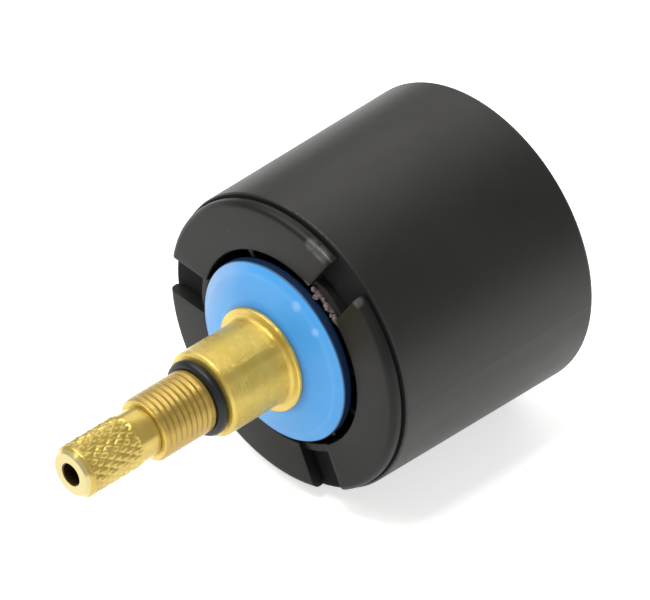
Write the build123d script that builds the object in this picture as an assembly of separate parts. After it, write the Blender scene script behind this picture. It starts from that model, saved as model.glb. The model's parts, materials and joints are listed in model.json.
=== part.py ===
"""Rotary ceramic-disc diverter cartridge: a brass spindle turns a ceramic disc over three ports.

Frame: the origin is the centre of the rear face that bears on the valve body. The valve's axis is Y.
The spindle points to -Y and the ports face +Y. X is right and Z is up, seen from the spindle's end.
A station is a distance in millimetres in front of the rear face, so a station of 10 lies at Y = -10.
An angle is measured about the axis from +X towards +Z.
"""

import os
from math import cos, radians, sin

from build123d import *

# Outer sleeve: a slightly tapered tube, closed in front by a wall with a central hole.
sleeve_rear_radius = 24.3
sleeve_front_radius = 23.5
sleeve_bore_radius = 20.6
sleeve_front = 37.9
sleeve_wall_back = 34.2
sleeve_wall_bore_radius = 17.0

# Front collar: three jaws on a thin ring that snaps into the sleeve's front wall.
collar_face = 40.0
collar_back = 38.3
collar_radius = 23.0
collar_edge_rounding = 1.0
collar_bore_radius = 15.5
collar_ring_radius = 16.9
collar_ring_back = 31.0
seam_root_radius = 22.4
jaw_slot_width = 6.2
jaw_slot_angles = (56, 176, 296)
slot_lip_front = 39.3
slot_lip_radius = 16.3

# Threaded brass stem guide, fixed to the housing, with the washer held under its flange.
washer_back = 39.6
washer_radius = 14.35
washer_edge_front = 41.05
washer_crease_radius = 12.9
washer_crease_front = 41.75
washer_shoulder_radius = 9.2
washer_shoulder_front = 42.75
washer_seat_radius = 8.1
washer_front = 43.25
flange_radius = 8.2
flange_front = 44.0
barrel_radius = 6.75
barrel_front = 55.3
groove_radius = 4.3
groove_front = 57.05
guide_ring_section = 0.8
thread_radius = 4.95
thread_root_radius = 4.5
nose_front = 66.6
shank_radius = 7.0
shank_back = 31.0

# Brass spindle, which runs in the guide's bore.
spindle_radius = 3.45
spindle_running_gap = 0.05
neck_radius = 3.88
neck_gap = 0.1
knurl_radius = 4.05
knurl_back = 70.1
spindle_tip = 80.4
tip_face_radius = 3.25
tip_chamfer_length = 0.9
screw_hole_radius = 1.65
screw_hole_depth = 9.0
countersink_radius = 1.85
tang_width = 4.8
tang_front = 27.0
spindle_back = 19.5

# Cartridge housing: a cup that opens to the rear, with a hub in front for the guide.
housing_radius = 20.4
housing_shoulder_radius = 18.2
cavity_radius = 17.1
cavity_front = 27.4
housing_front = 30.4
hub_radius = 11.5
hub_rib_count = 12
key_width = 3.0
key_depth = 1.2
key_angle = 270

# Ceramic discs, their driver and the detent.
port_count = 3
port_angles = (90, 210, 330)
port_circle_radius = 9.5
port_radius = 4.0
disc_radius = 16.0
fixed_disc_back = 7.0
fixed_disc_front = 11.0
moving_disc_back = 11.05
moving_disc_front = 15.05
channel_depth = 2.4
driver_back = 15.1
driver_plate_front = 18.6
driver_front = 27.1
driver_hub_radius = 12.8
stop_pocket_radius = 10.7
stop_pocket_back = 23.6
turn_each_way = 60
stop_lug_half_angle = 15
stop_margin_angle = 0.5
detent_ring_back = 18.9
detent_ring_bore_radius = 13.2
ball_radius = 1.5
ball_station = 21.2
ball_hole_radius = 1.65
ball_angles = (0, 180)

# Port base, at the rear.
base_front = 5.4
base_rear_step = 1.8
base_step_radius = 17.6
seal_pocket_radius = 6.2
seal_pocket_depth = 1.8
locating_pin_radius = 1.48
locating_pin_stem_radius = 1.3
locating_pin_stem_length = 4.0
locating_pin_step = 0.2
locating_pin_circle_radius = 14.8
locating_pin_angles = (30, 150)
locating_pin_reach = 3.0

running_gap = 0.2
fit_gap = 0.1


def around(angle):
    """The turn about the valve's axis that takes +X to the given angle."""
    return Rot(0, -angle, 0)


def at_angle(radius, station, angle):
    """The place at a radius and an angle about the axis, on a station."""
    return Pos(radius * cos(radians(angle)), -station, radius * sin(radians(angle)))


def turned(*outline):
    """Revolve an outline about the axis. A corner is (radius, station) or (radius, station, rounding)."""
    corners = [Vector(radius, -station) for radius, station, *_ in outline]
    profile = make_face(Polyline(*corners, close=True))
    for corner, (_, _, *rounding) in zip(corners, outline):
        if rounding:
            vertex = profile.vertices().sort_by_distance(corner)[0]
            profile = fillet(vertex, rounding[0])
    return revolve(profile, Axis.Y)


def rod(radius, back, front):
    """A round bar on the axis."""
    return Pos(0, -(back + front) / 2, 0) * Rot(90, 0, 0) * Cylinder(radius, front - back)


def ring(inner_radius, outer_radius, back, front):
    """A square-edged ring on the axis."""
    return turned((inner_radius, back), (outer_radius, back), (outer_radius, front), (inner_radius, front))


def o_ring(station, root_radius, section_radius):
    """A round-section ring that sits on a groove's root."""
    return Pos(0, -station, 0) * Rot(90, 0, 0) * Torus(root_radius + section_radius, section_radius)


def bar(inner_radius, outer_radius, back, front, width, angle):
    """A straight-sided block that runs outwards from the axis at an angle."""
    block = Box(outer_radius - inner_radius, front - back, width)
    middle = Pos((inner_radius + outer_radius) / 2, -(back + front) / 2, 0)
    return around(angle) * middle * block


def sector(outer_radius, back, front, half_angle, angle):
    """A slice of a round bar, half_angle to each side of an angle."""
    reach = outer_radius / cos(radians(half_angle / 2))
    middle = Vector(reach * cos(radians(half_angle / 2)), 0)
    edge = Vector(outer_radius * cos(radians(half_angle)), outer_radius * sin(radians(half_angle)))
    arc = ThreePointArc((edge.X, -edge.Y), (outer_radius, 0), (edge.X, edge.Y))
    sides = Polyline((edge.X, edge.Y), (0, 0), (edge.X, -edge.Y))
    slice_face = Plane.XZ * make_face(arc + sides)
    return around(angle) * Pos(0, -back, 0) * extrude(slice_face, front - back)


def outer_sleeve():
    """Tapered tube with a front wall, a rear groove for the snap ring and a key rib inside."""
    shell = turned(
        (sleeve_bore_radius, 0, 0.3),
        (sleeve_rear_radius, 0, 0.8),
        (sleeve_front_radius, sleeve_front, 0.4),
        (sleeve_wall_bore_radius, sleeve_front),
        (sleeve_wall_bore_radius, sleeve_wall_back),
        (sleeve_bore_radius, sleeve_wall_back),
    )
    snap_ring_groove = ring(sleeve_bore_radius - 1, 21.4, 0.45, 1.75)
    key = bar(sleeve_bore_radius - key_depth, sleeve_bore_radius + 1, 6, 30, key_width, key_angle)
    return shell - snap_ring_groove + key


def front_collar():
    """Jaw ring: a rounded face, a narrow seam groove behind it and a snap-in ring with a barb."""
    body = turned(
        (collar_bore_radius, collar_ring_back),
        (collar_ring_radius - 0.5, collar_ring_back),
        (collar_ring_radius + 0.7, 33.1),
        (collar_ring_radius + 0.7, 34.0),
        (collar_ring_radius, 34.0),
        (collar_ring_radius, sleeve_front + 0.02),
        (seam_root_radius, sleeve_front + 0.02),
        (seam_root_radius, collar_back),
        (collar_radius, collar_back, 0.2),
        (collar_radius, collar_face, collar_edge_rounding),
        (collar_bore_radius, collar_face, 0.35),
    )
    for angle in jaw_slot_angles:
        body -= bar(slot_lip_radius, collar_radius + 1, sleeve_front, 41, jaw_slot_width, angle)
        body -= bar(collar_bore_radius - 1, collar_radius + 1, slot_lip_front, 41, jaw_slot_width, angle)
    return body


def blue_washer():
    """Plastic washer, proud of the collar: a seat for the flange, a gently coned face and a bevelled rim."""
    return turned(
        (shank_radius + 0.15, washer_back),
        (washer_radius, washer_back, 0.3),
        (washer_radius, washer_edge_front, 0.4),
        (washer_crease_radius, washer_crease_front, 0.3),
        (washer_shoulder_radius, washer_shoulder_front, 0.8),
        (washer_seat_radius, washer_front),
        (shank_radius + 0.15, washer_front),
    )


def stem_guide():
    """Fixed brass stem: shank in the housing, flange, barrel, seal groove and threaded nose."""
    bore = spindle_radius + spindle_running_gap
    return turned(
        (bore, shank_back),
        (shank_radius, shank_back, 0.3),
        (shank_radius, 35.0),
        (shank_radius - 1.2, 35.0),
        (shank_radius - 1.2, 37.0),
        (shank_radius, 37.0),
        (shank_radius, washer_front + 0.05),
        (flange_radius, washer_front + 0.05, 0.15),
        (flange_radius, flange_front, 0.25),
        (barrel_radius, flange_front, 0.6),
        (barrel_radius, barrel_front, 0.6),
        (groove_radius, barrel_front),
        (groove_radius, groove_front),
        (thread_radius, groove_front, 0.2),
        (thread_radius, nose_front - 0.6),
        (thread_root_radius, nose_front),
        (bore, nose_front),
    )


def guide_o_ring():
    """Rubber ring in the groove between the barrel and the thread."""
    return o_ring((barrel_front + groove_front) / 2, groove_radius, guide_ring_section)


def shank_o_ring():
    """Rubber ring that seals the guide's shank in the housing's hub."""
    return o_ring(36.0, shank_radius - 1.2, 0.62)


def spindle():
    """Brass spindle: knurled end with a tapped hole, neck, journal, circlip groove and flat tang."""
    body = turned(
        (0, spindle_back),
        (spindle_radius, spindle_back, 0.3),
        (spindle_radius, 29.5),
        (2.6, 29.5),
        (2.6, 30.35),
        (spindle_radius, 30.35),
        (spindle_radius, nose_front + neck_gap),
        (neck_radius, nose_front + neck_gap),
        (neck_radius, knurl_back),
        (knurl_radius, knurl_back + 0.1),
        (knurl_radius, spindle_tip - tip_chamfer_length, 0.4),
        (tip_face_radius, spindle_tip, 0.3),
        (0, spindle_tip),
    )
    for station in (46.0, 50.0):
        body -= ring(2.3, 5, station - 0.7, station + 0.7)
    hole = turned(
        (0, spindle_tip - screw_hole_depth - 0.9),
        (screw_hole_radius, spindle_tip - screw_hole_depth),
        (screw_hole_radius, spindle_tip + screw_hole_radius - countersink_radius),
        (countersink_radius, spindle_tip),
        (countersink_radius, spindle_tip + 1),
        (0, spindle_tip + 1),
    )
    tang = Pos(0, -(spindle_back + tang_front) / 2, 0) * Box(tang_width, tang_front - spindle_back, 10)
    flats = rod(5, spindle_back, tang_front) - tang
    return body - hole - flats


def spindle_o_rings():
    """Two small rubber rings that seal the spindle in the guide's bore."""
    return [o_ring(station, 2.33, 0.56) for station in (46.0, 50.0)]


def thrust_washer():
    """Slippery washer between the guide's rear end and the circlip."""
    return ring(spindle_radius + fit_gap, 6.2, 30.4, 30.9)


def spindle_circlip():
    """Open steel clip in the spindle's groove, with two ears."""
    clip = ring(2.65, 4.9, 29.55, 30.3)
    for side in (-1, 1):
        clip += around(90 + 22 * side) * Pos(4.9, -29.925, 0) * Rot(90, 0, 0) * Cylinder(1.0, 0.75)
    return clip - bar(0, 8, 29, 31, 1.8, 90)


def cartridge_housing():
    """Cup for the discs, with a hub for the guide, thin ribs round the hub and a key groove."""
    body = turned(
        (cavity_radius, base_front + 0.05),
        (housing_radius, base_front + 0.05, 0.3),
        (housing_radius, sleeve_wall_back - 0.1, 0.3),
        (housing_shoulder_radius, sleeve_wall_back - 0.1),
        (housing_shoulder_radius, housing_front),
        (hub_radius, housing_front, 0.6),
        (hub_radius, washer_back - 0.05, 0.4),
        (shank_radius + 0.05, washer_back - 0.05),
        (shank_radius + 0.05, cavity_front),
        (cavity_radius, cavity_front, 0.6),
    )
    for number in range(hub_rib_count):
        rib_angle = number * 360 / hub_rib_count + 5
        body += bar(hub_radius - 1, collar_bore_radius - 0.4, housing_front - 0.5, 37.5, 0.9, rib_angle)
    groove_bottom = sleeve_bore_radius - key_depth - fit_gap
    body -= bar(groove_bottom, housing_radius + 1, 5, 31, key_width + 2 * fit_gap, key_angle)
    return body


def detent_ring():
    """Fixed ring with three pairs of notches for the balls and one lug that stops the driver."""
    outer = cavity_radius - fit_gap
    body = ring(detent_ring_bore_radius, outer, detent_ring_back, cavity_front - 0.3)
    lug = ring(stop_pocket_radius + running_gap, outer - 0.5, stop_pocket_back + 0.3, cavity_front - 0.3)
    body += lug & sector(outer, stop_pocket_back, cavity_front, stop_lug_half_angle, 90)
    for ball_angle in ball_angles:
        for step in (-turn_each_way, 0, turn_each_way):
            notch = at_angle(detent_ring_bore_radius - 0.2, ball_station, ball_angle + step)
            body -= notch * Sphere(ball_radius + 0.1)
    return body


def disc_driver():
    """Carrier on the spindle's tang: a plate with lugs for the disc, a hub with ball holes and a stop."""
    plate = turned(
        (0, driver_back),
        (cavity_radius - 0.7, driver_back, 0.3),
        (cavity_radius - 0.7, driver_plate_front, 0.3),
        (driver_hub_radius, driver_plate_front),
        (driver_hub_radius, driver_front, 0.3),
        (0, driver_front),
    )
    pocket_half_angle = turn_each_way + stop_lug_half_angle + stop_margin_angle
    pocket = ring(stop_pocket_radius, driver_hub_radius + 1, stop_pocket_back, driver_front + 1)
    plate -= pocket & sector(driver_hub_radius + 2, stop_pocket_back - 1, driver_front + 1, pocket_half_angle, 90)
    for angle in ball_angles:
        plate -= around(angle) * Pos(9.4, -ball_station, 0) * Rot(0, 90, 0) * Cylinder(ball_hole_radius, 7.6)
        plate += bar(disc_radius - 3.0, disc_radius - 0.2, driver_back - 1.6, driver_back + 1, 4.0, angle)
    bore = rod(spindle_radius + fit_gap, spindle_back - 0.5, driver_front + 1)
    tang_span = Box(tang_width + 2 * fit_gap, 30, 12)
    tang_slot = bore & (Pos(0, -20, 0) * tang_span)
    clearance = rod(spindle_radius + fit_gap, tang_front - 0.2, driver_front + 1)
    return plate - tang_slot - clearance


def detent_springs():
    """Two small coil springs behind the balls, each as the sleeve that its coil fills."""
    coils = []
    for angle in ball_angles:
        outline = Cylinder(1.5, 3.6) - Cylinder(1.0, 3.6)
        coils.append(around(angle) * Pos(7.9, -ball_station, 0) * Rot(0, 90, 0) * outline)
    return coils


def detent_balls():
    """Two steel balls, drawn pressed in and just clear of the ring."""
    reach = detent_ring_bore_radius - running_gap - ball_radius
    return [at_angle(reach, ball_station, angle) * Sphere(ball_radius) for angle in ball_angles]


def moving_disc():
    """Ceramic disc with two driving notches and a curved channel that joins two ports."""
    body = rod(disc_radius, moving_disc_back, moving_disc_front)
    for angle in ball_angles:
        body -= bar(disc_radius - 3.2, disc_radius + 1, moving_disc_front - 1.9, 16, 4.4, angle)
    channel_front = moving_disc_back + channel_depth
    inner = port_circle_radius - port_radius
    outer = port_circle_radius + port_radius
    channel = ring(inner, outer, moving_disc_back - 1, channel_front)
    channel &= sector(outer + 1, moving_disc_back - 1, channel_front, 180 / port_count, 90)
    for side in (-1, 1):
        end_angle = 90 + side * 180 / port_count
        end = rod(port_radius, moving_disc_back - 1, channel_front)
        channel += at_angle(port_circle_radius, 0, end_angle) * end
    return body - channel


def fixed_disc():
    """Ceramic disc with three ports and two keyed notches."""
    body = rod(disc_radius, fixed_disc_back, fixed_disc_front)
    for angle in port_angles:
        body -= at_angle(port_circle_radius, 0, angle) * rod(port_radius, fixed_disc_back - 1, fixed_disc_front + 1)
    for angle in (0, 180):
        body -= bar(disc_radius - 1.2, disc_radius + 1, fixed_disc_back - 1, fixed_disc_front + 1, 4.4, angle)
    return body


def disc_gasket():
    """Rubber gasket between the fixed disc and the base."""
    body = rod(disc_radius - 1.6, base_front, fixed_disc_back)
    for angle in port_angles:
        body -= at_angle(port_circle_radius, 0, angle) * rod(port_radius + 0.2, base_front - 1, fixed_disc_back + 1)
    return body


def port_base():
    """Rear plate with three ports, seal pockets, pin holes, a seal groove and two keys for the disc."""
    body = turned(
        (0, 0),
        (base_step_radius, 0, 0.3),
        (base_step_radius, base_rear_step),
        (housing_radius, base_rear_step, 0.2),
        (housing_radius, 2.5),
        (18.7, 2.5),
        (18.7, 4.5),
        (housing_radius, 4.5),
        (housing_radius, base_front, 0.2),
        (0, base_front),
    )
    pin_hole = turned(
        (0, -1),
        (locating_pin_radius + 0.02, -1),
        (locating_pin_radius + 0.02, 0),
        (locating_pin_stem_radius, locating_pin_step),
        (locating_pin_stem_radius, locating_pin_stem_length + fit_gap),
        (0, locating_pin_stem_length + fit_gap),
    )
    for angle in port_angles:
        place = at_angle(port_circle_radius, 0, angle)
        body -= place * rod(port_radius, -1, base_front + 1)
        body -= place * rod(seal_pocket_radius, -1, seal_pocket_depth)
    for angle in locating_pin_angles:
        body -= at_angle(locating_pin_circle_radius, 0, angle) * pin_hole
    for angle in (0, 180):
        body += bar(disc_radius - 1.1, cavity_radius - 0.3, base_front - 1, 9.0, 4.0, angle)
    return body


def base_o_ring():
    """Rubber ring that seals the base in the sleeve."""
    return o_ring(3.5, 18.72, 0.92)


def port_seals():
    """Three rubber rings round the ports, standing a little proud of the rear face."""
    seal = turned(
        (port_radius + 0.3, -0.4, 0.35),
        (seal_pocket_radius - fit_gap, -0.4, 0.35),
        (seal_pocket_radius - fit_gap, seal_pocket_depth - 0.02),
        (port_radius + 0.3, seal_pocket_depth - 0.02),
    )
    return [at_angle(port_circle_radius, 0, angle) * seal for angle in port_angles]


def locating_pins():
    """Two stepped steel pins that set the cartridge's turn in the valve body, pressed in up to the step."""
    pin = turned(
        (0, -locating_pin_reach),
        (locating_pin_radius, -locating_pin_reach, 0.4),
        (locating_pin_radius, 0),
        (locating_pin_stem_radius, locating_pin_step),
        (locating_pin_stem_radius, locating_pin_stem_length, 0.2),
        (0, locating_pin_stem_length),
    )
    return [at_angle(locating_pin_circle_radius, 0, angle) * pin for angle in locating_pin_angles]


def retaining_ring():
    """Open steel snap ring in the sleeve's groove, behind the base's step."""
    body = ring(18.9, 21.3, 0.5, 1.7)
    for side in (-1, 1):
        body += bar(17.9, 19.4, 0.5, 1.7, 3.0, 90 + 9 * side)
    return body - bar(17, 23, 0, 2, 2.6, 90)


makers = (
    outer_sleeve,
    front_collar,
    blue_washer,
    stem_guide,
    guide_o_ring,
    shank_o_ring,
    cartridge_housing,
    detent_ring,
    fixed_disc,
    disc_gasket,
    port_base,
    base_o_ring,
    port_seals,
    locating_pins,
    retaining_ring,
    spindle,
    spindle_o_rings,
    thrust_washer,
    spindle_circlip,
    disc_driver,
    detent_springs,
    detent_balls,
    moving_disc,
)

os.makedirs("parts", exist_ok=True)
for maker in makers:
    made = maker()
    if isinstance(made, list):
        made = Compound(children=made)
    export_step(made, f"parts/{maker.__name__}.step")
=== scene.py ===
# Diverter cartridge: black sleeve, slotted collar, blue washer, threaded brass guide, knurled brass spindle.
# Lengths are in metres. A station is a distance in mm in front of the rear face, so it lies at y = -station.
import json
from itertools import pairwise
from math import atan2, cos, pi, radians, sin, tan
from random import Random

import bpy
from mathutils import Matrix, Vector


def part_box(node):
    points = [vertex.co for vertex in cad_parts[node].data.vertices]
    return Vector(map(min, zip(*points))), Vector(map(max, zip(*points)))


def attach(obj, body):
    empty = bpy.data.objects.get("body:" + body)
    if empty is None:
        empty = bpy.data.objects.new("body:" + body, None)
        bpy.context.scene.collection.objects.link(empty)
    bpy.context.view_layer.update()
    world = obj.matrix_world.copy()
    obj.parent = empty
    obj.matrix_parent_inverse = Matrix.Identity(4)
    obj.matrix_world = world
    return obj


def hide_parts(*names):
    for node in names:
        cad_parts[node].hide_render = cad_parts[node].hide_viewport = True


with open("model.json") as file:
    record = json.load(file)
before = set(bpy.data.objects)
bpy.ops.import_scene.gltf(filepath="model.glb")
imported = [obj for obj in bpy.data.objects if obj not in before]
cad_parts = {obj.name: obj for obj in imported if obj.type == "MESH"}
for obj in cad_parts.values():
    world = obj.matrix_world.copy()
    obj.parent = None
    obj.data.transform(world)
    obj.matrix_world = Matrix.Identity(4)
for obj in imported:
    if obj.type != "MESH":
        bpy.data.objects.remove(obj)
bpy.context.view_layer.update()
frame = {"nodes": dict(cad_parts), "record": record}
nodes = frame["nodes"]
mm = 0.001
weld = 1e-7      # vertices nearer than this are merged


def reach(node):
    # outer radius, rear station and front station of a turned CAD node, in mm
    low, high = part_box(node)
    return high.x / mm, -high.y / mm, -low.y / mm


sleeveRadius, _, sleeveFront = reach("outer_sleeve")
collarRadius, _, collarFace = reach("front_collar")
washerRadius, washerBack, washerFront = reach("blue_washer")
flangeRadius, guideBack, noseFront = reach("stem_guide")
knurlRadius, spindleBack, spindleTip = reach("spindle")

cameraPlan = {
    "azimuth": 45.23,
    "elevation": 37.36,
    "distance": 0.7147,
    "lens": 276.9,
    "besideCollar": 0.00656,
    "aboveCollar": 0.00695,
}


def setCamera():
    turn = radians(cameraPlan["azimuth"])
    tilt = radians(cameraPlan["elevation"])
    back = Vector((sin(turn) * cos(tilt), -cos(turn) * cos(tilt), sin(tilt)))
    right = Vector((cos(turn), sin(turn), 0))
    up = back.cross(right)
    collarCentre = Vector((0, -collarFace * mm, 0))
    data = bpy.data.cameras.new("camera")
    data.lens = cameraPlan["lens"]
    data.clip_start = 0.01
    camera = bpy.data.objects.new("camera", data)
    bpy.context.scene.collection.objects.link(camera)
    camera.location = (
        collarCentre
        + right * cameraPlan["besideCollar"]
        + up * cameraPlan["aboveCollar"]
        + back * cameraPlan["distance"]
    )
    camera.rotation_mode = "QUATERNION"
    camera.rotation_quaternion = (-back).to_track_quat("-Z", "Y")
    bpy.context.scene.camera = camera


lights = {
    # name: direction it comes from (azimuth, elevation), distance, width, height, watts, colour
    "keyLight": (-50, 62, 0.60, 0.60, 0.45, 3.35, (1.0, 0.985, 0.96)),
    "rearLight": (-150, 38, 0.70, 0.65, 0.50, 1.35, (1.0, 0.98, 0.95)),
    "topLight": (18, 72, 0.60, 0.09, 0.09, 1.1, (1.0, 0.99, 0.97)),
    "sideLight": (80, 22, 0.60, 0.25, 0.35, 0.35, (0.93, 0.96, 1.0)),
}
worldLight = {"colour": (1.0, 0.99, 0.975, 1), "strength": 0.38}


def setLights():
    aim = Vector((0, -collarFace / 2 * mm, 0))
    for name, (azimuth, elevation, distance, width, height, watts, colour) in lights.items():
        turn = radians(azimuth)
        tilt = radians(elevation)
        back = Vector((sin(turn) * cos(tilt), -cos(turn) * cos(tilt), sin(tilt)))
        data = bpy.data.lights.new(name, "AREA")
        data.shape = "RECTANGLE"
        data.size = width
        data.size_y = height
        data.energy = watts
        data.color = colour
        lamp = bpy.data.objects.new(name, data)
        bpy.context.scene.collection.objects.link(lamp)
        lamp.location = aim + back * distance
        lamp.rotation_euler = back.to_track_quat("Z", "Y").to_euler()
    world = bpy.data.worlds.new("studio")
    bpy.context.scene.world = world
    world.use_nodes = True
    background = world.node_tree.nodes["Background"]
    background.inputs["Color"].default_value = worldLight["colour"]
    background.inputs["Strength"].default_value = worldLight["strength"]


class Shade:
    # a socket that sums can be written with
    def __init__(self, tree, socket=None):
        self.tree = tree
        self.socket = socket

    def node(self, kind, settings=None, sockets=None, out=0):
        made = self.tree.nodes.new("ShaderNode" + kind)
        for key, value in (settings or {}).items():
            if key == "stops":
                ramp = made.color_ramp.elements
                while len(ramp) < len(value):
                    ramp.new(0.5)
                for element, (place, colour) in zip(ramp, value):
                    element.position = place
                    element.color = (*colour, 1) if isinstance(colour, tuple) else (colour,) * 3 + (1,)
            else:
                setattr(made, key, value)
        for key, value in (sockets or {}).items():
            if isinstance(value, Shade):
                self.tree.links.new(value.socket, made.inputs[key])
            else:
                made.inputs[key].default_value = value
        return Shade(self.tree, made.outputs[out])

    def math(self, operation, *values):
        return self.node("Math", {"operation": operation}, dict(enumerate(values)))

    def __add__(self, other):
        return self.math("ADD", self, other)

    def __sub__(self, other):
        return self.math("SUBTRACT", self, other)

    def __rsub__(self, other):
        return self.math("SUBTRACT", other, self)

    def __mul__(self, other):
        return self.math("MULTIPLY", self, other)

    def __truediv__(self, other):
        return self.math("DIVIDE", self, other)

    def __pow__(self, other):
        return self.math("POWER", self, other)

    __radd__ = __add__
    __rmul__ = __mul__


class Finish:
    # a material with its principled shader, and the patterns that the finishes share
    def __init__(self, name, **constants):
        self.material = bpy.data.materials.new(name)
        self.material.use_nodes = True
        self.tree = self.material.node_tree
        self.shader = self.tree.nodes["Principled BSDF"]
        self.start = Shade(self.tree)
        self.place = self.start.node("TexCoord", out=3)
        for key, value in constants.items():
            self.set(key, value)

    def set(self, key, value):
        label = " ".join(word.capitalize() for word in key.split("_"))
        socket = self.shader.inputs[label.replace("Ior", "IOR")]
        if isinstance(value, Shade):
            self.tree.links.new(value.socket, socket)
        else:
            socket.default_value = value

    def noise(self, size, detail=3.0, roughness=0.55, place=None):
        # size is that of one blotch, in mm
        sockets = {"Vector": place or self.place, "Scale": 1 / (size * mm),
                   "Detail": detail, "Roughness": roughness}
        return self.start.node("TexNoise", {}, sockets)

    def stretched(self, x, y, z):
        # object coordinates scaled, so that a pattern comes out long and thin
        return self.start.node("Mapping", {}, {"Vector": self.place, "Scale": (x, y, z)})

    def axes(self):
        split = self.tree.nodes.new("ShaderNodeSeparateXYZ")
        self.tree.links.new(self.place.socket, split.inputs[0])
        return [Shade(self.tree, socket) for socket in split.outputs]

    def radius(self):
        # distance from the valve's axis
        x, _, z = self.axes()
        return (x * x + z * z) ** 0.5

    def latheLines(self, size):
        # fine rings about the valve's axis, uneven along it and faintly uneven around it
        x, y, z = self.axes()
        around = self.start.math("ARCTAN2", z, x)
        place = self.start.node("CombineXYZ", {}, {0: self.radius(), 1: y, 2: around * (0.6 * size * mm)})
        return self.noise(size, 4.0, 0.7, place)

    def ramp(self, value, *stops):
        return self.start.node("ValToRGB", {"stops": stops}, {"Fac": value})

    def fade(self, value, low, high, atLow, atHigh):
        # atLow up to low, atHigh from high on, and evenly from one to the other between them
        return self.start.node("MapRange", {}, {0: value, 1: low, 2: high, 3: atLow, 4: atHigh})

    def mix(self, factor, first, second):
        pair = [colour if isinstance(colour, Shade) else (*colour, 1) for colour in (first, second)]
        return self.start.node("Mix", {"data_type": "RGBA"}, {0: factor, 6: pair[0], 7: pair[1]}, out=2)

    def specks(self, spacing, size, share):
        # small round dots at random places, 1 on a dot
        cells = self.tree.nodes.new("ShaderNodeTexVoronoi")
        self.tree.links.new(self.place.socket, cells.inputs["Vector"])
        cells.inputs["Scale"].default_value = 1 / (spacing * mm)
        near = Shade(self.tree, cells.outputs["Distance"])
        lot = self.start.node("SeparateColor", {}, {0: Shade(self.tree, cells.outputs["Color"])})
        dot = self.start.math("LESS_THAN", near, size / spacing)
        return dot * self.start.math("GREATER_THAN", lot, 1 - share)

    def near(self, spots):
        # 1 at the middle of any spot (angle, radius, station, size in mm), fading to 0 at its size
        total = 0
        for angle, radius, station, size in spots:
            spot = (radius * cos(radians(angle)) * mm, -station * mm, radius * sin(radians(angle)) * mm)
            away = self.start.node("VectorMath", {"operation": "DISTANCE"}, {0: self.place, 1: spot}, out=1)
            total = self.fade(away, 0.0, size * mm, 1.0, 0.0) + total
        return self.start.math("MINIMUM", total * 1.6, 1.0)

    def bump(self, height, depth):
        sockets = {"Height": height, "Distance": depth * mm, "Strength": 1.0}
        self.set("normal", self.start.node("Bump", {}, sockets))

    def put(self, piece):
        piece.data.materials.clear()
        piece.data.materials.append(self.material)


def clear():
    if bpy.context.object and bpy.context.object.mode != "OBJECT":
        bpy.ops.object.mode_set(mode="OBJECT")
    bpy.ops.object.select_all(action="DESELECT")


def roundCorners(outline, steps=5):
    # corners (radius, station, rounding) in mm become points, with an arc at each rounded one
    points = []
    for index, (radius, station, *rounding) in enumerate(outline):
        corner = Vector((radius, station))
        if not rounding:
            points.append(corner)
            continue
        before = (Vector(outline[index - 1][:2]) - corner).normalized()
        after = (Vector(outline[(index + 1) % len(outline)][:2]) - corner).normalized()
        half = before.angle(after) / 2
        centre = corner + (before + after).normalized() * rounding[0] / sin(half)
        start = (corner + before * rounding[0] / tan(half) - centre).normalized()
        end = (corner + after * rounding[0] / tan(half) - centre).normalized()
        points += [centre + start.slerp(end, step / steps) * rounding[0] for step in range(steps + 1)]
    return points


def selectVerts(piece, wanted):
    # leaves the piece in edit mode with only the wanted vertices selected
    bpy.ops.object.mode_set(mode="EDIT")
    bpy.ops.mesh.select_mode(type="VERT")
    bpy.ops.mesh.select_all(action="DESELECT")
    bpy.ops.object.mode_set(mode="OBJECT")
    for vertex in piece.data.vertices:
        vertex.select = bool(wanted(vertex))
    bpy.ops.object.mode_set(mode="EDIT")


def lathe(name, outline, around=128, capped=False, steps=5):
    # a ring at the outline's first point, extruded and scaled from point to point; capped ends stay solid
    points = roundCorners(outline, steps)
    clear()
    fill = "NGON" if capped else "NOTHING"
    place = (0, -points[0].y * mm, 0)
    bpy.ops.mesh.primitive_circle_add(
        vertices=around, radius=points[0].x * mm, fill_type=fill, location=place, rotation=(pi / 2, 0, 0)
    )
    piece = bpy.context.object
    piece.name = name
    bpy.ops.object.transform_apply(location=True, rotation=True, scale=True)
    bpy.ops.object.mode_set(mode="EDIT")
    bpy.ops.mesh.select_all(action="SELECT")
    if capped:
        bpy.ops.mesh.select_mode(type="FACE")
    for here, there in pairwise(points if capped else points + points[:1]):
        step = {"value": (0, (here.y - there.y) * mm, 0)}
        bpy.ops.mesh.extrude_region_move(TRANSFORM_OT_translate=step)
        share = there.x / here.x
        bpy.ops.transform.resize(value=(share, 1, share), center_override=(0, -there.y * mm, 0))
    bpy.ops.mesh.select_mode(type="VERT")
    bpy.ops.mesh.select_all(action="SELECT")
    bpy.ops.mesh.remove_doubles(threshold=weld)
    bpy.ops.mesh.normals_make_consistent(inside=False)
    bpy.ops.object.mode_set(mode="OBJECT")
    return piece


def modify(piece, kind, **settings):
    # adds a modifier and applies it
    clear()
    bpy.context.view_layer.objects.active = piece
    piece.select_set(True)
    modifier = piece.modifiers.new(kind.lower(), kind)
    for key, value in settings.items():
        setattr(modifier, key, value)
    bpy.ops.object.modifier_apply(modifier=modifier.name)


def combine(piece, other, operation):
    # joins, cuts or keeps the overlap with another solid, which is then gone
    modify(piece, "BOOLEAN", operation=operation, object=other, solver="EXACT")
    bpy.data.objects.remove(other)


def smooth(piece, angle=32):
    clear()
    bpy.context.view_layer.objects.active = piece
    piece.select_set(True)
    bpy.ops.object.shade_smooth_by_angle(angle=radians(angle), keep_sharp_edges=False)


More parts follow.
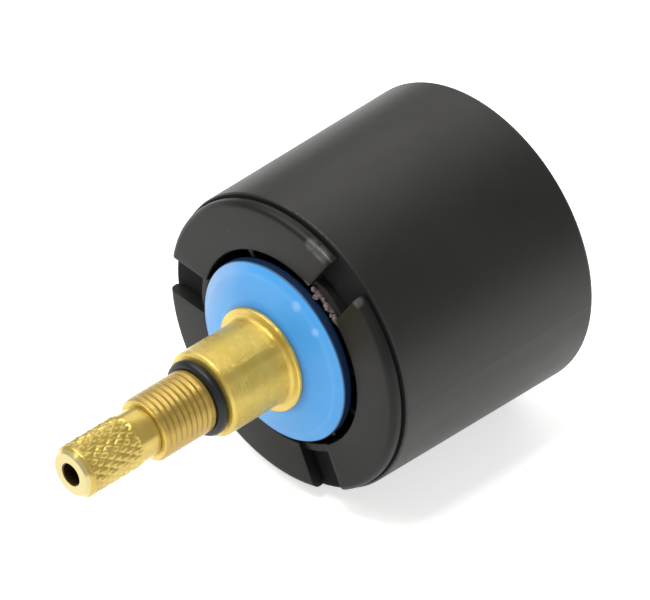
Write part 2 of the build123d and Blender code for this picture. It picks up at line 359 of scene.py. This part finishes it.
def hand(piece, finish, body, slot, *standsFor):
    # gives a new piece its finish and its body, and hides the CAD nodes that it stands for
    finish.put(piece)
    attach(piece, body)
    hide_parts(*standsFor)


# sizes in mm; dust: spacing, size, share of the places; colours of what lies on the plastic, of the painted
# shade in the slots and of the painted highlight on the rubbed corners
blackPlan = {
    "cloud": 14,
    "grain": 0.35,
    "fineGrain": 0.12,
    "smear": 5,
    "dust": [(3.2, 0.10, 0.22), (1.9, 0.045, 0.30)],
    "dustColour": (0.34, 0.33, 0.30),
    # colour of the painted shade on the sleeve's front face, in the slots
    "recessShade": (0.0016, 0.0020, 0.0030),
    "grease": (0.17, 0.135, 0.13),
    "patch": 0.6,
    # lighter colour on the rubbed corners: a painted highlight
    "wearAndHighlight": (0.22, 0.22, 0.21),
    "wearAndHighlightShare": 0.32,
}


def satinBlack(name, look):
    plan = blackPlan
    finish = Finish(name, specular_ior_level=look["gloss"])
    cloud = finish.noise(plan["cloud"], 3)
    grain = finish.noise(plan["grain"], 2, 0.6)
    smear = finish.noise(plan["smear"], 5, 0.65, finish.stretched(1, 0.35, 1))
    coarseDust, fineDust = [finish.specks(*dust) for dust in plan["dust"]]
    tone = finish.mix(finish.ramp(cloud, (0.3, 0.0), (0.7, 1.0)), look["dark"], look["light"])
    tone = finish.mix((coarseDust + fineDust) * look["dust"], tone, plan["dustColour"])
    roughness = look["roughness"] + (smear - 0.5) * look["smear"] + (grain - 0.5) * 0.08
    # painted shade on the sleeve's front face in the slots, which is also made rougher there
    if "recessShade" in look:
        _, along, _ = finish.axes()
        recessShade = finish.start.math("LESS_THAN", along, -look["recessShade"] * mm)
        tone = finish.mix(recessShade, tone, plan["recessShade"])
        roughness = roughness + recessShade * 0.5
    if "grease" in look:
        patches = finish.ramp(finish.noise(plan["patch"], 3, 0.7), (0.38, 0.25), (0.60, 1.0))
        greasy = finish.near(look["grease"]) * patches
        wearAndHighlight = finish.near(look["wearAndHighlight"]) * (0.5 + patches * 0.5)
        tone = finish.mix(greasy, tone, plan["grease"])
        # rubbed jaw corners: the lighter tone is a painted highlight, the lower roughness below is wear
        tone = finish.mix(wearAndHighlight * plan["wearAndHighlightShare"], tone, plan["wearAndHighlight"])
        roughness = roughness - (greasy + wearAndHighlight) * 0.2
    finish.set("base_color", tone)
    finish.set("roughness", roughness)
    finish.bump(grain + finish.noise(plan["fineGrain"], 1) * 0.5, look["grain"])
    return finish


brassPlan = {"blotch": 4.5, "scratch": 0.6, "oil": (0.055, 0.032, 0.010)}    # sizes in mm, painted shade in the hole


def brightBrass(name, look):
    finish = Finish(name, metallic=look["metallic"])
    lines = finish.latheLines(look["lineSize"])
    blotch = finish.noise(brassPlan["blotch"], 4, 0.6)
    scratch = finish.noise(brassPlan["scratch"], 3, 0.7, finish.stretched(1, 0.12, 1))
    tone = finish.mix(finish.ramp(blotch, (0.35, 0.0), (0.68, 1.0)), look["pale"], look["deep"])
    tone = finish.mix(finish.ramp(lines, (0.52, 0.0), (0.80, look["lineTone"])), tone, look["line"])
    _, along, _ = finish.axes()
    for back, front, share, colour in look["bands"]:      # from one station to another
        pastBack = finish.start.math("LESS_THAN", along, -back * mm)
        shortOfFront = finish.start.math("GREATER_THAN", along, -front * mm)
        tone = finish.mix(pastBack * shortOfFront * share, tone, colour)
    # painted shade inside the spindle's hole
    if "hole" in look:
        inside = finish.start.math("LESS_THAN", finish.radius(), look["hole"] * mm)
        tone = finish.mix(inside, tone, brassPlan["oil"])
    finish.set("base_color", tone)
    finish.set("roughness", look["roughness"] + (blotch - 0.5) * 0.12 + (scratch - 0.5) * 0.10)
    finish.bump(lines + scratch * 0.25, look["lineDepth"])
    return finish


# grease beads at the mouth of one slot, and rubbed corners beside it that get a painted highlight: angle,
# radius, station, size
greaseSpots = [(44 + 3 * step, 15.1, 40.0, 1.3) for step in range(9)]
wearAndHighlightSpots = [(67.5, 22.6, 39.7, 1.2), (70, 22.6, 39.7, 1.3), (74, 22.6, 39.7, 1.2), (47.0, 22.6, 39.6, 1.0)]


def buildFinishes():
    made = {}
    made["sleeve_plastic"] = satinBlack("sleevePlastic", {
        "dark": (0.0078, 0.0078, 0.0064), "light": (0.0125, 0.0124, 0.0102), "gloss": 0.36,
        "roughness": 0.45, "smear": 0.14, "dust": 0.45, "grain": 0.012,
        "recessShade": sleeveFront - 0.05,      # painted shade and a duller finish on the front face, in the slots
    })
    made["collar_plastic"] = satinBlack("collarPlastic", {
        "dark": (0.0070, 0.0070, 0.0066), "light": (0.0125, 0.0125, 0.0120), "gloss": 0.17,
        "roughness": 0.40, "smear": 0.16, "dust": 0.30, "grain": 0.010,
        "grease": greaseSpots, "wearAndHighlight": wearAndHighlightSpots,
    })
    made["housing_plastic"] = satinBlack("housingPlastic", {
        "dark": (0.005, 0.0055, 0.007), "light": (0.009, 0.0095, 0.012), "gloss": 0.4,
        "roughness": 0.34, "smear": 0.12, "dust": 0.1, "grain": 0.008,
    })
    made["base_plastic"] = satinBlack("basePlastic", {
        "dark": (0.12, 0.12, 0.125), "light": (0.16, 0.16, 0.165), "gloss": 0.45,
        "roughness": 0.42, "smear": 0.14, "dust": 0.2, "grain": 0.010,
    })
    made["guide_brass"] = brightBrass("guideBrass", {
        "pale": (0.66, 0.50, 0.12), "deep": (0.56, 0.41, 0.08), "line": (0.42, 0.29, 0.05), "lineTone": 0.35,
        "lineSize": 0.13, "lineDepth": 0.085, "roughness": 0.12, "metallic": 0.62,
        "bands": [(57.2, 66.5, 0.85, (0.41, 0.27, 0.06))],    # browner on the thread
    })
    made["spindle_brass"] = brightBrass("spindleBrass", {
        "pale": (0.58, 0.44, 0.11), "deep": (0.46, 0.33, 0.07), "line": (0.36, 0.25, 0.05), "lineTone": 0.25,
        "lineSize": 0.16, "lineDepth": 0.010, "roughness": 0.18, "metallic": 0.55, "hole": 1.8,
        "bands": [(79.9, 81.0, 0.8, (0.56, 0.49, 0.24))],     # paler on the cut end
    })
    made["washer_plastic"] = washerNylon()
    made["seal_rubber"] = greasedRubber()
    made["detent_plastic"] = naturalAcetal("detentAcetal", (0.66, 0.64, 0.57))
    made["driver_plastic"] = naturalAcetal("driverAcetal", (0.72, 0.70, 0.63))
    made["slip_plastic"] = naturalAcetal("slipWasherPlastic", (0.80, 0.80, 0.77))
    made["disc_ceramic"] = lappedCeramic()
    made["spring_steel"] = groundSteel("springSteel", (0.50, 0.49, 0.47), 0.34)
    made["pin_steel"] = groundSteel("pinSteel", (0.58, 0.57, 0.56), 0.26)
    made["ball_steel"] = groundSteel("ballSteel", (0.66, 0.66, 0.67), 0.10)
    return made


washerLook = {
    "deep": (0.038, 0.27, 0.64),
    "pale": (0.052, 0.30, 0.67),
    "flangeShade": (0.02, 0.10, 0.28),        # painted shade beside the flange
    "flangeShadeReach": (8.1, 9.3),
    "flangeShadeShare": 0.55,
    "sideSheen": (0.32, 0.37, 0.50),         # painted reflection, on the side away from the slot with the grease
    "sheenSide": (-0.89, 0.45),
    "sheenReach": (9.5, 14.2),
    "sheenShare": 0.42,
    # colour of the painted highlight line along the crease
    "crease": (0.45, 0.66, 0.95),
    "creaseRadius": 12.85,
    "creaseHighlightWidth": 0.5,
    "creaseHighlightShare": 0.05,
    # colour of the painted glints; the noise of the same name roughens and bumps the face
    "scuffAndGlint": (0.62, 0.76, 0.95),
    "glintSpots": [(64.8, 12.65, 41.8, 1.0), (44.2, 12.7, 41.8, 0.8)],    # painted glints on the crease: angle, radius, station, size
    "glintShare": 0.22,
    "wall": (0.0022, 0.009, 0.034),     # painted shade round the rim
    "wallReach": (14.1, 14.33),
    "wallShare": 0.97,
    "dust": (0.75, 0.82, 0.90),
    "dustPlaces": (2.4, 0.05, 0.25),    # spacing, size, share of the places
    "dustShare": 0.5,
    "roughness": 0.40,
    "bump": 0.006,
}


def washerNylon():
    look = washerLook
    finish = Finish("washerNylon", specular_ior_level=0.45)
    flow = finish.noise(7, 3, 0.5)
    scuffAndGlint = finish.noise(0.8, 5, 0.7)
    tone = finish.mix(finish.ramp(flow, (0.3, 0.0), (0.7, 1.0)), look["deep"], look["pale"])
    x, _, z = finish.axes()
    radius = finish.radius() / mm
    # painted shade on the washer next to the flange
    flangeShade = finish.fade(radius, *look["flangeShadeReach"], look["flangeShadeShare"], 0.0)
    tone = finish.mix(flangeShade, tone, look["flangeShade"])
    # painted reflection: a pale tint on one side of the washer's face
    sideX, sideZ = look["sheenSide"]
    sideSheen = finish.fade((z * sideZ + x * sideX) / mm, *look["sheenReach"], 0.0, look["sheenShare"])
    tone = finish.mix(sideSheen * (0.6 + flow * 0.8), tone, look["sideSheen"])
    # a pale line along the crease: a painted highlight
    away = finish.start.math("ABSOLUTE", radius - look["creaseRadius"])
    crease = finish.fade(away, 0.0, look["creaseHighlightWidth"], look["creaseHighlightShare"], 0.0)
    tone = finish.mix(crease, tone, look["crease"])
    # two pale spots on the crease: painted glints
    tone = finish.mix(finish.near(look["glintSpots"]) * look["glintShare"], tone, look["scuffAndGlint"])
    # painted shade on the washer's rim wall
    tone = finish.mix(finish.fade(radius, *look["wallReach"], 0.0, look["wallShare"]), tone, look["wall"])
    dust = finish.specks(*look["dustPlaces"]) * look["dustShare"]
    finish.set("base_color", finish.mix(dust, tone, look["dust"]))
    finish.set("roughness", look["roughness"] + (scuffAndGlint - 0.5) * 0.16)
    finish.bump(scuffAndGlint, look["bump"])
    return finish


rubberLook = {
    "dark": (0.004, 0.005, 0.007), "light": (0.010, 0.012, 0.014), "smear": 2.2, "grain": 0.18,
    "roughness": 0.40, "bump": 0.006,
}


def greasedRubber():
    look = rubberLook
    finish = Finish("greasedRubber", specular_ior_level=0.3)
    smear = finish.noise(look["smear"], 4, 0.6)
    finish.set("base_color", finish.mix(smear, look["dark"], look["light"]))
    finish.set("roughness", look["roughness"] + (smear - 0.5) * 0.26)
    finish.bump(finish.noise(look["grain"], 2), look["bump"])
    return finish


def naturalAcetal(name, colour):
    finish = Finish(name, specular_ior_level=0.45)
    cloud = finish.noise(6, 3)
    grain = finish.noise(0.25, 3)
    shade = tuple(0.86 * part for part in colour)
    finish.set("base_color", finish.mix(cloud, colour, shade))
    finish.set("roughness", 0.42 + (grain - 0.5) * 0.16)
    finish.bump(grain, 0.008)
    return finish


ceramicLook = {
    "pale": (0.80, 0.79, 0.75), "grey": (0.72, 0.71, 0.68), "speck": (0.35, 0.33, 0.30),
    "specks": (1.6, 0.05, 0.30), "cloud": 4, "grain": 0.10, "roughness": 0.26, "bump": 0.002,
}


def lappedCeramic():
    look = ceramicLook
    finish = Finish("lappedCeramic", specular_ior_level=0.6)
    cloud = finish.noise(look["cloud"], 3)
    grain = finish.noise(look["grain"], 2)
    tone = finish.mix(cloud, look["pale"], look["grey"])
    tone = finish.mix(finish.specks(*look["specks"]) * 0.5, tone, look["speck"])
    finish.set("base_color", tone)
    finish.set("roughness", look["roughness"] + (cloud - 0.5) * 0.14 + (grain - 0.5) * 0.08)
    finish.bump(grain, look["bump"])
    return finish


def groundSteel(name, colour, roughness):
    finish = Finish(name, metallic=1.0)
    lines = finish.latheLines(0.12)
    cloud = finish.noise(3, 4)
    shade = tuple(0.80 * part for part in colour)
    finish.set("base_color", finish.mix(cloud, colour, shade))
    finish.set("roughness", roughness + (cloud - 0.5) * 0.14 + (lines - 0.5) * 0.08)
    finish.bump(lines, 0.002)
    return finish


washerPlan = {
    "bore": 7.15,
    "seat": 8.1,                      # under the flange
    "shoulder": (9.2, 42.75, 2.0),    # radius, station, rounding
    "crease": (12.9, 41.75, 0.6),
    "rim": 41.05,
    "rimEdges": (0.3, 0.35),          # back, front
    "edge": 0.1,
    "around": 160,
}


def makeWasher():
    plan = washerPlan
    backEdge, frontEdge = plan["rimEdges"]
    outline = [
        (plan["bore"], washerBack, plan["edge"]),
        (washerRadius, washerBack, backEdge),
        (washerRadius, plan["rim"], frontEdge),
        plan["crease"],
        plan["shoulder"],
        (plan["seat"], washerFront, plan["edge"]),
        (plan["bore"], washerFront, plan["edge"]),
    ]
    washer = lathe("blueWasher", outline, plan["around"], steps=8)
    smooth(washer)
    return washer


threadPlan = {
    "pitch": 1.0,
    "root": 4.77,
    "crest": 4.95,
    "land": 0.7,          # plain length beside the seal ring
    "landStep": 0.02,     # it is that much thinner than the crests
    "overlap": 0.3,       # of the thread and the land, so that they join
    "rootHalf": 1.25,     # factors that move the evenly cut profile's points out to the root flat
    "crestHalf": 0.625,   # and in to the crest flat
    "steps": 48,          # of one turn
    "chamfer": 0.45,
}
guidePlan = {
    "shank": 7.0,
    "shankEdge": 0.3,
    "shankGroove": (5.8, 35.0, 37.0),    # root radius, back, front
    "flangeGap": 0.05,                   # between the washer and the flange
    "flangeFront": 44.0,
    "flangeEdges": (0.15, 0.25),
    "barrel": 6.75,
    "barrelFront": 55.3,
    "barrelEdge": 0.6,
    "sealRoot": 4.3,
    "sealGrooveFront": 57.05,
    "landEdge": 0.2,
    "bore": 3.5,
    "around": 144,
    "toolAround": 96,                    # of the cone and the drill that shape its tip and bore
}


def threadedRod(back, front):
    # one pitch of profile, screwed round the axis, cut off square at both ends and closed there
    plan = threadPlan
    pitch = plan["pitch"] * mm
    root = plan["root"] * mm
    middle = -back * mm + pitch * 1.5
    clear()
    bpy.ops.mesh.primitive_plane_add(size=pitch, location=(root + pitch / 2, middle, 0))
    rod = bpy.context.object
    bpy.ops.object.transform_apply(location=True)
    selectVerts(rod, lambda vertex: vertex.co.x > root + pitch / 2)
    bpy.ops.mesh.delete(type="VERT")
    bpy.ops.mesh.select_all(action="SELECT")
    bpy.ops.mesh.subdivide(number_cuts=4)
    fifth = pitch / 5
    centre = (root, middle, 0)
    selectVerts(rod, lambda vertex: fifth < abs(vertex.co.y - middle) < 2 * fifth)
    bpy.ops.transform.resize(value=(1, plan["rootHalf"], 1), center_override=centre)
    selectVerts(rod, lambda vertex: abs(vertex.co.y - middle) < fifth)
    bpy.ops.transform.resize(value=(1, plan["crestHalf"], 1), center_override=centre)
    bpy.ops.transform.translate(value=((plan["crest"] - plan["root"]) * mm, 0, 0))
    bpy.ops.object.mode_set(mode="OBJECT")
    turns = int((front - back) / plan["pitch"]) + 4      # longer than needed at both ends
    modify(rod, "SCREW", axis="Y", screw_offset=-pitch, iterations=turns, steps=plan["steps"],
           render_steps=plan["steps"], use_merge_vertices=True, merge_threshold=weld)
    bpy.ops.object.mode_set(mode="EDIT")
    for station, direction in ((back, 1), (front, -1)):
        bpy.ops.mesh.select_all(action="SELECT")
        bpy.ops.mesh.bisect(plane_co=(0, -station * mm, 0), plane_no=(0, direction, 0),
                            use_fill=True, clear_outer=True, threshold=weld)
    bpy.ops.mesh.select_all(action="SELECT")
    bpy.ops.mesh.remove_doubles(threshold=weld)
    bpy.ops.mesh.normals_make_consistent(inside=False)
    bpy.ops.object.mode_set(mode="OBJECT")
    return rod


def makeGuide():
    plan = guidePlan
    landFront = plan["sealGrooveFront"] + threadPlan["land"]
    landRadius = threadPlan["crest"] - threadPlan["landStep"]
    grooveRoot, grooveBack, grooveFront = plan["shankGroove"]
    flangeBack = washerFront + plan["flangeGap"]
    backEdge, frontEdge = plan["flangeEdges"]
    outline = [
        (plan["shank"], guideBack, plan["shankEdge"]),
        (plan["shank"], grooveBack),
        (grooveRoot, grooveBack),
        (grooveRoot, grooveFront),
        (plan["shank"], grooveFront),
        (plan["shank"], flangeBack),
        (flangeRadius, flangeBack, backEdge),
        (flangeRadius, plan["flangeFront"], frontEdge),
        (plan["barrel"], plan["flangeFront"], plan["barrelEdge"]),
        (plan["barrel"], plan["barrelFront"], plan["barrelEdge"]),
        (plan["sealRoot"], plan["barrelFront"]),
        (plan["sealRoot"], plan["sealGrooveFront"]),
        (landRadius, plan["sealGrooveFront"], plan["landEdge"]),
        (landRadius, landFront),
    ]
    guide = lathe("stemGuide", [(1, guideBack)] + outline + [(1, landFront)], plan["around"], capped=True)
    rod = threadedRod(landFront - threadPlan["overlap"], noseFront)
    tip = lathe("tipCone", [
        (threadPlan["crest"] + 1, landFront - 1),
        (threadPlan["crest"] + 1, noseFront - threadPlan["chamfer"] - 1),
        (threadPlan["crest"] - threadPlan["chamfer"], noseFront + 0.01),
    ], plan["toolAround"], capped=True)
    combine(rod, tip, "INTERSECT")
    combine(guide, rod, "UNION")
    path = [(plan["bore"], guideBack - 1), (plan["bore"], noseFront + 1)]
    combine(guide, lathe("drill", path, plan["toolAround"], capped=True), "DIFFERENCE")
    smooth(guide)
    return guide


knurlPlan = {
    "back": 70.2,
    "front": 79.3,
    "starts": 20,
    "turnSteps": 8,      # columns of one diamond
    "rows": 38,
    "lead": 2.06,        # axial length of one diamond
    "depth": 0.22,
    "flat": 1.45,        # above 1 it leaves the diamonds' tops flat
    "runOut": 0.4,
}
spindlePlan = {
    "journal": 3.45,
    "neck": 3.88,
    "neckGap": 0.1,
    "tipChamfer": (0.9, 3.25),    # length, radius of the flat end
    "tipEdges": (0.4, 0.3, 0.1),  # from the knurl inwards
    "backEdge": 0.3,
    "hole": 1.65,
    "countersink": 1.85,
    "holeDepth": 9.0,
    "holePoint": 0.9,
    "circlipGroove": (2.6, 29.5, 30.35),    # root radius, back, front
    "ringGrooves": (46.0, 50.0),
    "ringHalf": 0.7,              # half a groove's width
    "ringRoot": 2.3,
    "tangFront": 27.0,
    "tangHalf": 2.4,
    "slab": (2, 8),               # width and height of what is cut off beside the tang
}


def makeSpindle():
    plan = spindlePlan
    knurl = knurlPlan
    grooveRoot, grooveBack, grooveFront = plan["circlipGroove"]
    rowStep = (knurl["front"] - knurl["back"]) / knurl["rows"]
    journal = plan["journal"]
    outline = [(1, spindleBack), (journal, spindleBack, plan["backEdge"]), (journal, plan["tangFront"])]
    outline += [(journal, grooveBack), (grooveRoot, grooveBack)]
    outline += [(grooveRoot, grooveFront), (journal, grooveFront)]
    for station in plan["ringGrooves"]:
        back, front = station - plan["ringHalf"], station + plan["ringHalf"]
        outline += [(journal, back), (plan["ringRoot"], back), (plan["ringRoot"], front), (journal, front)]
    neckBack = noseFront + plan["neckGap"]
    outline += [(journal, neckBack), (plan["neck"], neckBack, 0.05), (plan["neck"], knurl["back"] - 0.1)]
    outline += [(knurlRadius, knurl["back"] + row * rowStep) for row in range(knurl["rows"] + 1)]
    chamferLength, endRadius = plan["tipChamfer"]
    outerEdge, endEdge, sinkEdge = plan["tipEdges"]
    holeEnd = spindleTip - plan["holeDepth"]
    outline += [(knurlRadius, spindleTip - chamferLength, outerEdge), (endRadius, spindleTip, endEdge)]
    outline += [(plan["countersink"], spindleTip, sinkEdge)]
    outline += [(plan["hole"], spindleTip + plan["hole"] - plan["countersink"])]
    outline += [(plan["hole"], holeEnd), (0.1, holeEnd - plan["holePoint"])]
    spindle = lathe("knurledSpindle", outline, knurl["starts"] * knurl["turnSteps"], capped=True)
    pressKnurl(spindle)
    bpy.ops.object.mode_set(mode="OBJECT")
    combine(spindle, flatCutter(plan), "DIFFERENCE")
    smooth(spindle, 24)
    return spindle


def pressKnurl(spindle):
    # two crossing sets of V grooves: every vertex is drawn in to the depth of the nearer groove
    knurl = knurlPlan
    rings = {}
    for vertex in spindle.data.vertices:
        station = -vertex.co.y / mm
        radius = Vector((vertex.co.x, vertex.co.z)).length / mm
        if radius < knurlRadius - 0.01 or not knurl["back"] - 0.01 < station < knurl["front"] + 0.01:
            continue
        around = atan2(vertex.co.z, vertex.co.x) / (2 * pi) * knurl["starts"]
        along = (station - knurl["back"]) / knurl["lead"]
        ridge = min(1 - abs(2 * ((around + sign * along) % 1) - 1) for sign in (-1, 1))
        ridge = min(1, knurl["flat"] * ridge)
        fromEnd = min(station - knurl["back"], knurl["front"] - station)
        fade = min(1, fromEnd / knurl["runOut"])
        target = knurlRadius - knurl["depth"] * (1 - ridge) * fade
        rings.setdefault(round(target / knurlRadius, 3), set()).add(vertex.index)
    for share, members in rings.items():
        selectVerts(spindle, lambda vertex: vertex.index in members)
        bpy.ops.transform.resize(value=(share, 1, share), center_override=(0, 0, 0))


def flatCutter(plan):
    # two slabs that leave the driving tang between them
    clear()
    length = plan["tangFront"] - spindleBack + 1
    middle = -(spindleBack - 1 + plan["tangFront"]) / 2 * mm
    width, height = plan["slab"]
    for side in (-1, 1):
        place = (side * (plan["tangHalf"] + width / 2) * mm, middle, 0)
        bpy.ops.mesh.primitive_cube_add(size=1, location=place)
        slab = bpy.context.object
        slab.scale = (width * mm, length * mm, height * mm)
        bpy.ops.object.transform_apply(location=True, scale=True)
        if side < 0:
            first = slab
    clear()
    slab.select_set(True)
    first.select_set(True)
    bpy.context.view_layer.objects.active = first
    bpy.ops.object.join()
    return first


collarPlan = {
    "bore": 15.5,
    "boreStep": 0.02,            # the ring's bore is that much wider than the jaws'
    "ring": 16.9,
    "ringBack": 31.0,
    "barb": (17.6, 33.1, 34.0),  # radius, back, front
    "leadIn": 0.5,               # by which the ring's rear end is thinner, to snap in
    "sleeveGap": 0.02,
    "seamRoot": 22.4,
    "jawBack": 38.3,
    "edge": 1.0,
    "backEdge": 0.2,
    "boreEdge": 0.35,
    "slotWidth": 6.2,
    "slotAngles": (56, 176, 296),
    "lipFront": 39.3,
    "lipEdges": (0.35, 0.3),     # outside, inside
    "jawRounding": 0.28,
    "around": 180,
}


def makeJaw(angle):
    # the whole ring of jaws, cut down by two planes to the jaw between one slot and the next
    plan = collarPlan
    back = sleeveFront + plan["sleeveGap"]
    jaw = lathe("jaw", [
        (plan["bore"], back),
        (plan["seamRoot"], back),
        (plan["seamRoot"], plan["jawBack"]),
        (collarRadius, plan["jawBack"], plan["backEdge"]),
        (collarRadius, collarFace, plan["edge"]),
        (plan["bore"], collarFace, plan["boreEdge"]),
    ], plan["around"], steps=7)
    bpy.ops.object.mode_set(mode="EDIT")
    for slotAngle, side in ((angle, 1), (angle + 120, -1)):
        normal = Vector((-sin(radians(slotAngle)), 0, cos(radians(slotAngle)))) * side
        bpy.ops.mesh.select_all(action="SELECT")
        bpy.ops.mesh.bisect(plane_co=normal * plan["slotWidth"] / 2 * mm, plane_no=normal,
                            use_fill=True, clear_inner=True, threshold=weld)
    bpy.ops.mesh.select_all(action="SELECT")
    bpy.ops.mesh.normals_make_consistent(inside=False)
    bpy.ops.object.mode_set(mode="OBJECT")
    modify(jaw, "BEVEL", width=plan["jawRounding"] * mm, segments=4, limit_method="ANGLE",
           angle_limit=radians(50), use_clamp_overlap=True)
    return jaw


def makeCollar():
    plan = collarPlan
    barbRadius, barbBack, barbFront = plan["barb"]
    outerEdge, innerEdge = plan["lipEdges"]
    ringBore = plan["bore"] + plan["boreStep"]
    collar = lathe("frontCollar", [
        (ringBore, plan["ringBack"]),
        (plan["ring"] - plan["leadIn"], plan["ringBack"]),
        (barbRadius, barbBack),
        (barbRadius, barbFront),
        (plan["ring"], barbFront),
        (plan["ring"], plan["lipFront"], outerEdge),
        (ringBore, plan["lipFront"], innerEdge),
    ], plan["around"])
    for angle in plan["slotAngles"]:
        combine(collar, makeJaw(angle), "UNION")
    beads = [greaseBead(angle, index) for index, angle in enumerate(beadPlan["angles"])]
    clear()
    for bead in beads:
        bead.select_set(True)
    collar.select_set(True)
    bpy.context.view_layer.objects.active = collar
    bpy.ops.object.join()
    smooth(collar, 35)
    return collar


beadPlan = {
    "angles": (43.5, 45, 46, 48, 49.5, 50.5, 52.5, 54, 56.5, 57.5, 59.5, 61, 62, 64.5),
    "radius": 15.35,
    "station": 39.4,
    "size": 0.46,
    "sizes": (0.6, 1.5),          # spread of each, from and to
    "radii": (-0.35, 0.45),
    "stations": (-0.1, 0.15),
    "shapes": (0.75, 1.2),
    "rough": 0.10,
    "seed": 4,
}


def greaseBead(angle, index):
    # one uneven bead between the slot's lip and the washer's rim
    plan = beadPlan
    pick = Random(plan["seed"] + index)
    size = plan["size"] * pick.uniform(*plan["sizes"])
    radius = plan["radius"] + pick.uniform(*plan["radii"])
    station = plan["station"] + pick.uniform(*plan["stations"])
    place = (radius * cos(radians(angle)) * mm, -station * mm, radius * sin(radians(angle)) * mm)
    clear()
    bpy.ops.mesh.primitive_ico_sphere_add(subdivisions=3, radius=size * mm, location=place)
    bead = bpy.context.object
    bpy.ops.object.transform_apply(location=True)
    bpy.ops.object.mode_set(mode="EDIT")
    bpy.ops.mesh.select_all(action="SELECT")
    stretch = [pick.uniform(*plan["shapes"]) for _ in range(3)]
    bpy.ops.transform.resize(value=stretch, center_override=place)
    bpy.ops.transform.vertex_random(offset=plan["rough"] * mm, seed=plan["seed"] + index)
    bpy.ops.mesh.vertices_smooth(factor=0.5, repeat=1)
    bpy.ops.object.mode_set(mode="OBJECT")
    return bead


# radii of the wire and the coil, and the distance of the inner end from the valve's axis
springPlan = {"wire": 0.26, "coil": 1.22, "turns": 5.5, "steps": 28, "length": 3.5, "inner": 6.15}


def makeSprings():
    # one closed-end coil along +X, and its copy turned half way round the valve's axis
    plan = springPlan
    low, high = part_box("detent_balls")
    station = (low.y + high.y) / 2
    start = plan["inner"] * mm
    pitch = (plan["length"] - 2 * plan["wire"]) / plan["turns"] * mm
    clear()
    bpy.ops.mesh.primitive_circle_add(
        vertices=12, radius=plan["wire"] * mm, location=(0, 0, plan["coil"] * mm), rotation=(pi / 2, 0, 0)
    )
    spring = bpy.context.object
    spring.name = "detentSpringCoils"
    bpy.ops.object.transform_apply(location=True, rotation=True)
    steps = int(plan["steps"] * plan["turns"])
    modify(spring, "SCREW", axis="X", screw_offset=pitch * plan["turns"], angle=2 * pi * plan["turns"],
           iterations=1, steps=steps, render_steps=steps)
    bpy.ops.object.mode_set(mode="EDIT")
    bpy.ops.mesh.select_mode(type="EDGE")
    bpy.ops.mesh.select_all(action="DESELECT")
    bpy.ops.mesh.select_non_manifold()
    bpy.ops.mesh.fill_holes(sides=12)
    bpy.ops.mesh.select_all(action="SELECT")
    bpy.ops.mesh.normals_make_consistent(inside=False)
    bpy.ops.transform.translate(value=(start + plan["wire"] * mm, station, 0))
    bpy.ops.mesh.duplicate()
    bpy.ops.transform.rotate(value=pi, orient_axis="Y", center_override=(0, station, 0))
    bpy.ops.object.mode_set(mode="OBJECT")
    smooth(spring, 60)
    return spring


floorPlan = {"size": 6.0, "cloud": 120, "grey": (0.84, 0.86), "glow": (0.98, 1.0), "strength": 0.62}


def makeFloor():
    plan = floorPlan
    clear()
    bpy.ops.mesh.primitive_plane_add(size=plan["size"], location=(0, 0, -sleeveRadius * mm))
    floor = bpy.context.object
    floor.name = "floor"
    finish = Finish("floorPaper", roughness=0.9, specular_ior_level=0.1, emission_strength=plan["strength"])
    cloud = finish.noise(plan["cloud"], 2)
    for key, levels in (("base_color", plan["grey"]), ("emission_color", plan["glow"])):
        finish.set(key, finish.mix(cloud, *[(level,) * 3 for level in levels]))
    finish.put(floor)


setCamera()
setLights()
bpy.context.scene.view_settings.view_transform = "Standard"
print("stage set")

finishes = buildFinishes()
slotOf = {part["node"]: part["material_slot"] for part in frame["record"]["subparts"]}
for nodeName, node in nodes.items():
    finishes[slotOf[nodeName]].put(node)
print("finishes on the CAD nodes")

hand(makeWasher(), finishes["washer_plastic"], "cartridge", "washer_plastic", "blue_washer")
print("washer made")
hand(makeGuide(), finishes["guide_brass"], "cartridge", "guide_brass", "stem_guide")
print("guide made")
hand(makeSpindle(), finishes["spindle_brass"], "spindle_assembly", "spindle_brass", "spindle")
print("spindle made")
hand(makeCollar(), finishes["collar_plastic"], "cartridge", "collar_plastic", "front_collar")
print("collar made")
hand(makeSprings(), finishes["spring_steel"], "spindle_assembly", "spring_steel", "detent_springs")
print("springs made")
makeFloor()
